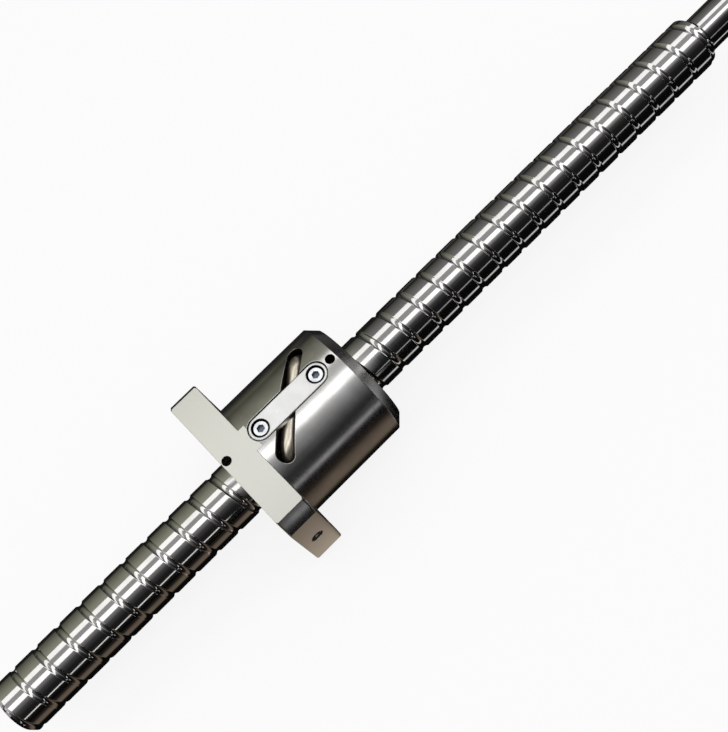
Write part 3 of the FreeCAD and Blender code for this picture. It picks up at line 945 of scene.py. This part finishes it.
@dataclass
class BallNut:
    """The flanged nut with its wiper rings and their set screws."""

    oil_port: OilPort = field(default_factory=OilPort)

    def build(self) -> None:
        """Dress the nut's solids and thread its oil port."""
        steel = GROUND_NUT.material()
        dress("nut_body", steel)
        self.oil_port.build(steel)
        resin = WIPER_RESIN.material()
        black = BLACK_OXIDE.material()
        for end in ENDS:
            dress(f"wiper_{end}", resin)
            dress(f"wiper_set_screw_{end}", black)


@dataclass
class ReturnCircuit:
    """The bent tube with the returning balls, its clamp and the clamp's screws."""

    stretches: tuple[str, str, str] = ("in", "across", "out")

    def build(self, balls: bpy.types.Material) -> None:
        """Dress the tube, the clamp, the screws and the balls.

        Args:
            balls: the finish that all balls share.
        """
        dress("return_tube", DRAWN_TUBE.material())
        dress("tube_clamp", PLATED_CLAMP.material())
        plated = PLATED_SCREW.material()
        for end in ENDS:
            dress(f"clamp_screw_{end}", plated)
        for stretch in self.stretches:
            dress(f"return_balls_{stretch}", balls)


@dataclass
class BallTrain:
    """The balls that carry the load, one group for each half turn."""

    half_turns: int = 5

    def build(self, balls: bpy.types.Material) -> None:
        """Dress the loaded balls.

        Args:
            balls: the finish that all balls share.
        """
        for i in range(self.half_turns):
            dress(f"load_balls_{i + 1}", balls)


@dataclass(frozen=True)
class Softbox:
    """A long soft lamp over the screw: the angles it spans about the screw's axis and its two ends."""

    name: str
    first_deg: float
    last_deg: float
    left_m: float
    right_m: float
    radiance: float


@dataclass(frozen=True)
class Panel:
    """A length of the studio's cloth, with its shades by the angle about the screw's axis."""

    start_m: float
    shades: tuple[tuple[float, Shade], ...]


@dataclass(frozen=True)
class Card:
    """A small card on the table: two corners, as x and y of each, and its shades at the two y."""

    name: str
    corners_mm: tuple[float, float, float, float]
    first_shade: Shade
    last_shade: Shade


@dataclass
class Studio:
    """The floor, the cards and cloth that the steel mirrors, and the lamps."""

    floor_mm: float = -28.9
    floor_half_m: float = 4.0
    # the share of the floor's white that is its own; the rest is lit paper, which keeps the shadow
    floor_own_white: float = 0.88
    table_mm: float = -28.85
    table_half_m: float = 2.0
    small_card_mm: float = -28.83
    tent_radius_m: float = 1.0
    tent_half_m: float = 4.0
    tent_steps: int = 90
    fill_level: float = 0.6
    lamp_radius_m: float = 0.9
    panel_fade_m: float = 0.02
    lamps: tuple[Softbox, ...] = (
        Softbox("far_softbox_left", 54.0, 73.0, -1.4, -0.065, 1.25),
        Softbox("far_softbox_flange", 62.5, 79.0, -0.062, -0.014, 1.25),
        Softbox("far_softbox_right", 54.0, 73.0, -0.011, 1.7, 1.25),
        Softbox("near_softbox_left", 91.0, 108.5, -1.4, -0.06, 1.6),
        Softbox("near_softbox_middle", 95.5, 111.5, -0.055, 0.155, 1.9),
        Softbox("near_softbox_right", 93.5, 110.5, 0.16, 1.7, 1.5),
        Softbox("left_edge_strip", 161.2, 165.2, -0.55, -0.1, 1.2),
        Softbox("right_edge_strip", 164.0, 167.8, 0.16, 0.85, 0.5),
    )
    panels: tuple[Panel, ...] = (
        Panel(
            -4.0,
            (
                (0.0, Shade.OLIVE),
                (45.0, Shade.PALE_OLIVE),
                (74.0, Shade.PALE_GREY),
                (89.0, Shade.PALE_GREY),
                (113.0, Shade.GREY),
                (126.0, Shade.SLATE),
                (142.0, Shade.CHARCOAL),
                (180.0, Shade.BLACK),
            ),
        ),
        Panel(
            -0.058,
            (
                (0.0, Shade.DARK_OLIVE),
                (45.0, Shade.PALE_OLIVE),
                (74.0, Shade.SILVER),
                (95.0, Shade.WHITE),
                (113.0, Shade.WHITE),
                (120.0, Shade.SILVER),
                (134.0, Shade.GREY),
                (148.0, Shade.SLATE),
                (154.0, Shade.CHARCOAL),
                (169.5, Shade.CHARCOAL),
                (172.0, Shade.SILVER),
                (177.0, Shade.SILVER),
                (179.0, Shade.BLACK),
            ),
        ),
        Panel(
            0.17,
            (
                (0.0, Shade.DARK_OLIVE),
                (50.0, Shade.GREY),
                (74.0, Shade.PALE_GREY),
                (113.0, Shade.PALE_GREY),
                (118.0, Shade.GREY),
                (125.0, Shade.SLATE),
                (140.0, Shade.CHARCOAL),
                (180.0, Shade.BLACK),
            ),
        ),
        Panel(
            0.92,
            (
                (0.0, Shade.CHARCOAL),
                (40.0, Shade.SLATE),
                (85.0, Shade.GREY),
                (130.0, Shade.CHARCOAL),
                (180.0, Shade.BLACK),
            ),
        ),
    )
    # across the screw in mm; the black stretch under the object, up to 20 mm, is a painted shadow of
    # the object
    left_table: tuple[tuple[float, Shade], ...] = (
        (-300.0, Shade.BLACK),
        (-115.0, Shade.DARK_BROWN),
        (-62.0, Shade.BROWN),
        (-45.0, Shade.BROWN),
        (-37.0, Shade.BLACK),
        (20.0, Shade.BLACK),
        (110.0, Shade.CHARCOAL),
        (300.0, Shade.OLIVE),
    )
    # the black stretch under the object, up to 20 mm, is a painted shadow of the object here too
    right_table: tuple[tuple[float, Shade], ...] = (
        (-300.0, Shade.BLACK),
        (-64.0, Shade.BLACK),
        (-59.0, Shade.WHITE),
        (-49.0, Shade.WHITE),
        (-45.0, Shade.BLACK),
        (20.0, Shade.BLACK),
        (110.0, Shade.CHARCOAL),
        (300.0, Shade.CHARCOAL),
    )
    table_split_mm: tuple[float, float] = (52.0, 66.0)
    cards: tuple[Card, ...] = (
        Card("end_chamfer_card", (-290.0, 8.0, -165.0, 66.0), Shade.PALE_GREY, Shade.SILVER),
        Card("side_flat_card", (-22.0, -62.0, -1.0, -38.6), Shade.BROWN, Shade.TAN),
        Card("nut_chamfer_card", (100.0, 70.0, 330.0, 165.0), Shade.SLATE, Shade.SLATE),
    )

    def sheet(
        self, name: str, corners: tuple[float, float, float, float], height_mm: float
    ) -> bpy.types.Object:
        """Lay down a level rectangle.

        Args:
            name: the sheet's name.
            corners: x and y of two opposite corners in metres.
            height_mm: how high it lies.

        Returns:
            The sheet, still without a material.
        """
        x0, y0, x1, y1 = corners
        z = height_mm * MM
        mesh = bpy.data.meshes.new(name)
        rim = [(x0, y0, z), (x1, y0, z), (x1, y1, z), (x0, y1, z)]
        mesh.from_pydata(rim, [], [(0, 1, 2, 3)])
        piece = link(bpy.data.objects.new(name, mesh))
        return piece

    def glow(
        self, piece: bpy.types.Object, material: bpy.types.Material, colour: bpy.types.NodeSocket
    ) -> None:
        """Let a card shine by itself, seen only by mirrored rays and not sampled as a lamp.

        Args:
            piece: the card.
            material: its material, with the nodes that give its shades.
            colour: the colour that it shows.
        """
        tree = material.node_tree
        shine = add_node(tree, "ShaderNodeEmission", {"Color": colour, "Strength": 1.0})
        add_node(tree, "ShaderNodeOutputMaterial", {"Surface": shine.outputs["Emission"]})
        material.cycles.emission_sampling = "NONE"
        piece.data.materials.append(material)
        piece.visible_camera = False
        piece.visible_diffuse = False
        piece.visible_shadow = False

    def seen(self, tree: bpy.types.NodeTree) -> bpy.types.NodeSocket:
        """Tell rays that show the background from those that only carry its light.

        Args:
            tree: the tree of the floor or the world.

        Returns:
            1 on rays from the camera, a mirror or glass, and 0 on the rest.
        """
        path = add_node(tree, "ShaderNodeLightPath").outputs
        share = path["Is Camera Ray"]
        for kind in ("Is Glossy Ray", "Is Transmission Ray"):
            share = add_node(
                tree, "ShaderNodeMath", {0: share, 1: path[kind]}, operation="MAXIMUM"
            ).outputs[0]
        return share

    def floor(self) -> None:
        """The pale floor, white to the camera, with a soft shadow."""
        half = self.floor_half_m
        piece = self.sheet("floor", (-half, -half, half, half), self.floor_mm)
        material = new_material("white_paper_floor")
        tree = material.node_tree
        paper = add_node(tree, "ShaderNodeBsdfDiffuse", {"Color": linear(PAPER)})
        bright = add_node(
            tree, "ShaderNodeEmission", {"Color": linear(BACKGROUND), "Strength": 1.0}
        )
        share = add_node(
            tree,
            "ShaderNodeMath",
            {0: self.seen(tree), 1: self.floor_own_white},
            operation="MULTIPLY",
        )
        mixed = add_node(
            tree,
            "ShaderNodeMixShader",
            {0: share.outputs[0], 1: paper.outputs["BSDF"], 2: bright.outputs["Emission"]},
        )
        add_node(tree, "ShaderNodeOutputMaterial", {"Surface": mixed.outputs["Shader"]})
        material.cycles.emission_sampling = "NONE"
        piece.data.materials.append(material)

    def ramp(
        self,
        tree: bpy.types.NodeTree,
        value: bpy.types.NodeSocket,
        shades: tuple[tuple[float, Shade], ...],
    ) -> bpy.types.NodeSocket:
        """Shades along a value.

        Args:
            tree: the tree of the card's material.
            value: what the shades follow.
            shades: places along the value, and the shade at each.

        Returns:
            The colour.
        """
        first, last = shades[0][0], shades[-1][0]
        share = add_node(
            tree, "ShaderNodeMapRange", {"Value": value, "From Min": first, "From Max": last}
        )
        node = add_node(tree, "ShaderNodeValToRGB", {0: share.outputs["Result"]})
        elements = node.color_ramp.elements
        while len(elements) < len(shades):
            elements.new(1.0)
        for element, (place, shade) in zip(elements, shades):
            element.position = (place - first) / (last - first)
            element.color = linear(shade.value)
        return node.outputs["Color"]

    def across(self, tree: bpy.types.NodeTree) -> tuple[bpy.types.Node, bpy.types.NodeSocket]:
        """Find the place on a card.

        Args:
            tree: the tree of the card's material.

        Returns:
            The node with the three coordinates, and the place across the screw in mm.
        """
        coords = add_node(tree, "ShaderNodeTexCoord")
        parts = add_node(tree, "ShaderNodeSeparateXYZ", {0: coords.outputs["Object"]})
        across = add_node(
            tree, "ShaderNodeMath", {0: parts.outputs["Y"], 1: MM}, operation="DIVIDE"
        )
        return parts, across.outputs[0]

    def table_card(self) -> None:
        """The card under the object, brown on the left, dark on the right, with a painted shadow under
        the object; seen only in the steel.
        """
        half = self.table_half_m
        piece = self.sheet("table_card", (-half, -half, half, half), self.table_mm)
        material = new_material("brown_card")
        tree = material.node_tree
        parts, across = self.across(tree)
        split = add_node(
            tree,
            "ShaderNodeMapRange",
            {
                "Value": parts.outputs["X"],
                "From Min": self.table_split_mm[0] * MM,
                "From Max": self.table_split_mm[1] * MM,
            },
        )
        colour = add_node(
            tree,
            "ShaderNodeMix",
            {
                0: split.outputs["Result"],
                6: self.ramp(tree, across, self.left_table),
                7: self.ramp(tree, across, self.right_table),
            },
            data_type="RGBA",
        )
        self.glow(piece, material, colour.outputs[2])

    def small_card(self, card: Card) -> None:
        """Lay a small card on the table, seen only in the steel.

        Args:
            card: its place and shades.
        """
        x0, y0, x1, y1 = (v * MM for v in card.corners_mm)
        piece = self.sheet(card.name, (x0, y0, x1, y1), self.small_card_mm)
        material = new_material(card.name)
        tree = material.node_tree
        shades = ((card.corners_mm[1], card.first_shade), (card.corners_mm[3], card.last_shade))
        self.glow(piece, material, self.ramp(tree, self.across(tree)[1], shades))

    def dark_tent(self) -> None:
        """A half round of cloth over the screw, whose shades the steel mirrors between the lamps."""
        steps = self.tent_steps
        radius = self.tent_radius_m
        angles = [math.pi * i / steps for i in range(steps + 1)]
        ends = (-self.tent_half_m, self.tent_half_m)
        verts = [(x, radius * math.cos(a), radius * math.sin(a)) for a in angles for x in ends]
        faces = [(2 * i, 2 * i + 1, 2 * i + 3, 2 * i + 2) for i in range(steps)]
        mesh = bpy.data.meshes.new("studio_tent")
        mesh.from_pydata(verts, [], faces)
        piece = link(bpy.data.objects.new("studio_tent", mesh))
        piece.location.z = self.floor_mm * MM
        material = new_material("studio_cloth")
        tree = material.node_tree
        coords = add_node(tree, "ShaderNodeTexCoord")
        parts = add_node(tree, "ShaderNodeSeparateXYZ", {0: coords.outputs["Object"]})
        angle = add_node(
            tree,
            "ShaderNodeMath",
            {0: parts.outputs["Z"], 1: parts.outputs["Y"]},
            operation="ARCTAN2",
        ).outputs[0]
        angle = add_node(tree, "ShaderNodeMath", {0: angle}, operation="DEGREES").outputs[0]
        colour = self.ramp(tree, angle, self.panels[0].shades)
        for panel in self.panels[1:]:
            fade = add_node(
                tree,
                "ShaderNodeMapRange",
                {
                    "Value": parts.outputs["X"],
                    "From Min": panel.start_m - self.panel_fade_m / 2,
                    "From Max": panel.start_m + self.panel_fade_m / 2,
                },
            )
            colour = add_node(
                tree,
                "ShaderNodeMix",
                {0: fade.outputs["Result"], 6: colour, 7: self.ramp(tree, angle, panel.shades)},
                data_type="RGBA",
            ).outputs[2]
        self.glow(piece, material, colour)

    def hang(self, box: Softbox) -> None:
        """Hang a softbox so that it faces the screw and spans its angles.

        Args:
            box: the angles, ends and brightness of the lamp.
        """
        first, last = math.radians(box.first_deg), math.radians(box.last_deg)
        middle = (first + last) / 2
        out = Vector((0.0, math.cos(middle), math.sin(middle)))
        lamp = bpy.data.lights.new(box.name, "AREA")
        lamp.shape = "RECTANGLE"
        lamp.size = box.right_m - box.left_m
        lamp.size_y = 2 * self.lamp_radius_m * math.tan((last - first) / 2)
        lamp.energy = box.radiance * math.pi * lamp.size * lamp.size_y
        thing = link(bpy.data.objects.new(box.name, lamp))
        along = Vector((1.0, 0.0, 0.0))
        across = out.cross(along)
        turn = Matrix((along, across, out)).transposed()
        place = out * self.lamp_radius_m + along * (box.left_m + box.right_m) / 2
        thing.matrix_world = Matrix.Translation(place) @ turn.to_4x4()
        thing.visible_camera = False

    def sky(self) -> None:
        """A white surround to the camera and in mirrors, and a calmer fill light."""
        world = bpy.data.worlds.new("white_surround")
        bpy.context.scene.world = world
        world.use_nodes = True
        tree = world.node_tree
        tree.nodes.clear()
        level = add_node(
            tree,
            "ShaderNodeMapRange",
            {"Value": self.seen(tree), "To Min": self.fill_level, "To Max": 1.0},
        )
        back = add_node(
            tree,
            "ShaderNodeBackground",
            {"Color": linear(BACKGROUND), "Strength": level.outputs["Result"]},
        )
        add_node(tree, "ShaderNodeOutputWorld", {"Surface": back.outputs["Background"]})

    def build(self) -> None:
        """Set up the stage and the light."""
        self.floor()
        self.table_card()
        for card in self.cards:
            self.small_card(card)
        self.dark_tent()
        self.sky()
        for box in self.lamps:
            self.hang(box)
        bpy.context.scene.view_settings.view_transform = "Standard"


@dataclass
class PhotoCamera:
    """The camera of the photograph, by its angles about the screw and its distance in mm."""

    lean_deg: float = 6.288
    tilt_deg: float = 24.0654
    roll_deg: float = 44.55
    distance_mm: float = 442.7816
    focal_px: float = 1057.973
    along_mm: float = 55.8252
    across_mm: float = 0.23
    clip_m: float = 0.01

    def build(self) -> None:
        """Place the camera and make it the scene's."""
        lean, tilt, roll = (math.radians(a) for a in (self.lean_deg, self.tilt_deg, self.roll_deg))
        axis = Vector((1.0, 0.0, 0.0))
        side = Vector((0.0, -math.sin(tilt), math.cos(tilt)))
        back = -math.sin(lean) * axis + math.cos(lean) * side
        along = math.cos(lean) * axis + math.sin(lean) * side
        across = back.cross(along)
        right = math.cos(roll) * along - math.sin(roll) * across
        up = math.sin(roll) * along + math.cos(roll) * across
        place = (self.along_mm * axis + self.across_mm * across + self.distance_mm * back) * MM
        lens = bpy.data.cameras.new("photo_camera")
        lens.sensor_fit = "HORIZONTAL"
        lens.sensor_width = SENSOR_MM
        lens.lens = self.focal_px * SENSOR_MM / IMAGE_WIDTH
        lens.clip_start = self.clip_m
        camera = link(bpy.data.objects.new("photo_camera", lens))
        turn = Matrix((right, up, back)).transposed()
        camera.matrix_world = Matrix.Translation(place) @ turn.to_4x4()
        bpy.context.scene.camera = camera


def main() -> None:
    """Build every piece in order."""
    logging.basicConfig(level=logging.INFO, format="%(name)s %(message)s")
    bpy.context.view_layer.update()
    balls = LAPPED_BALL.material()
    ScrewShaft().build()
    BallNut().build()
    ReturnCircuit().build(balls)
    BallTrain().build(balls)
    Studio().build()
    PhotoCamera().build()


if __name__ == "__main__":
    main()
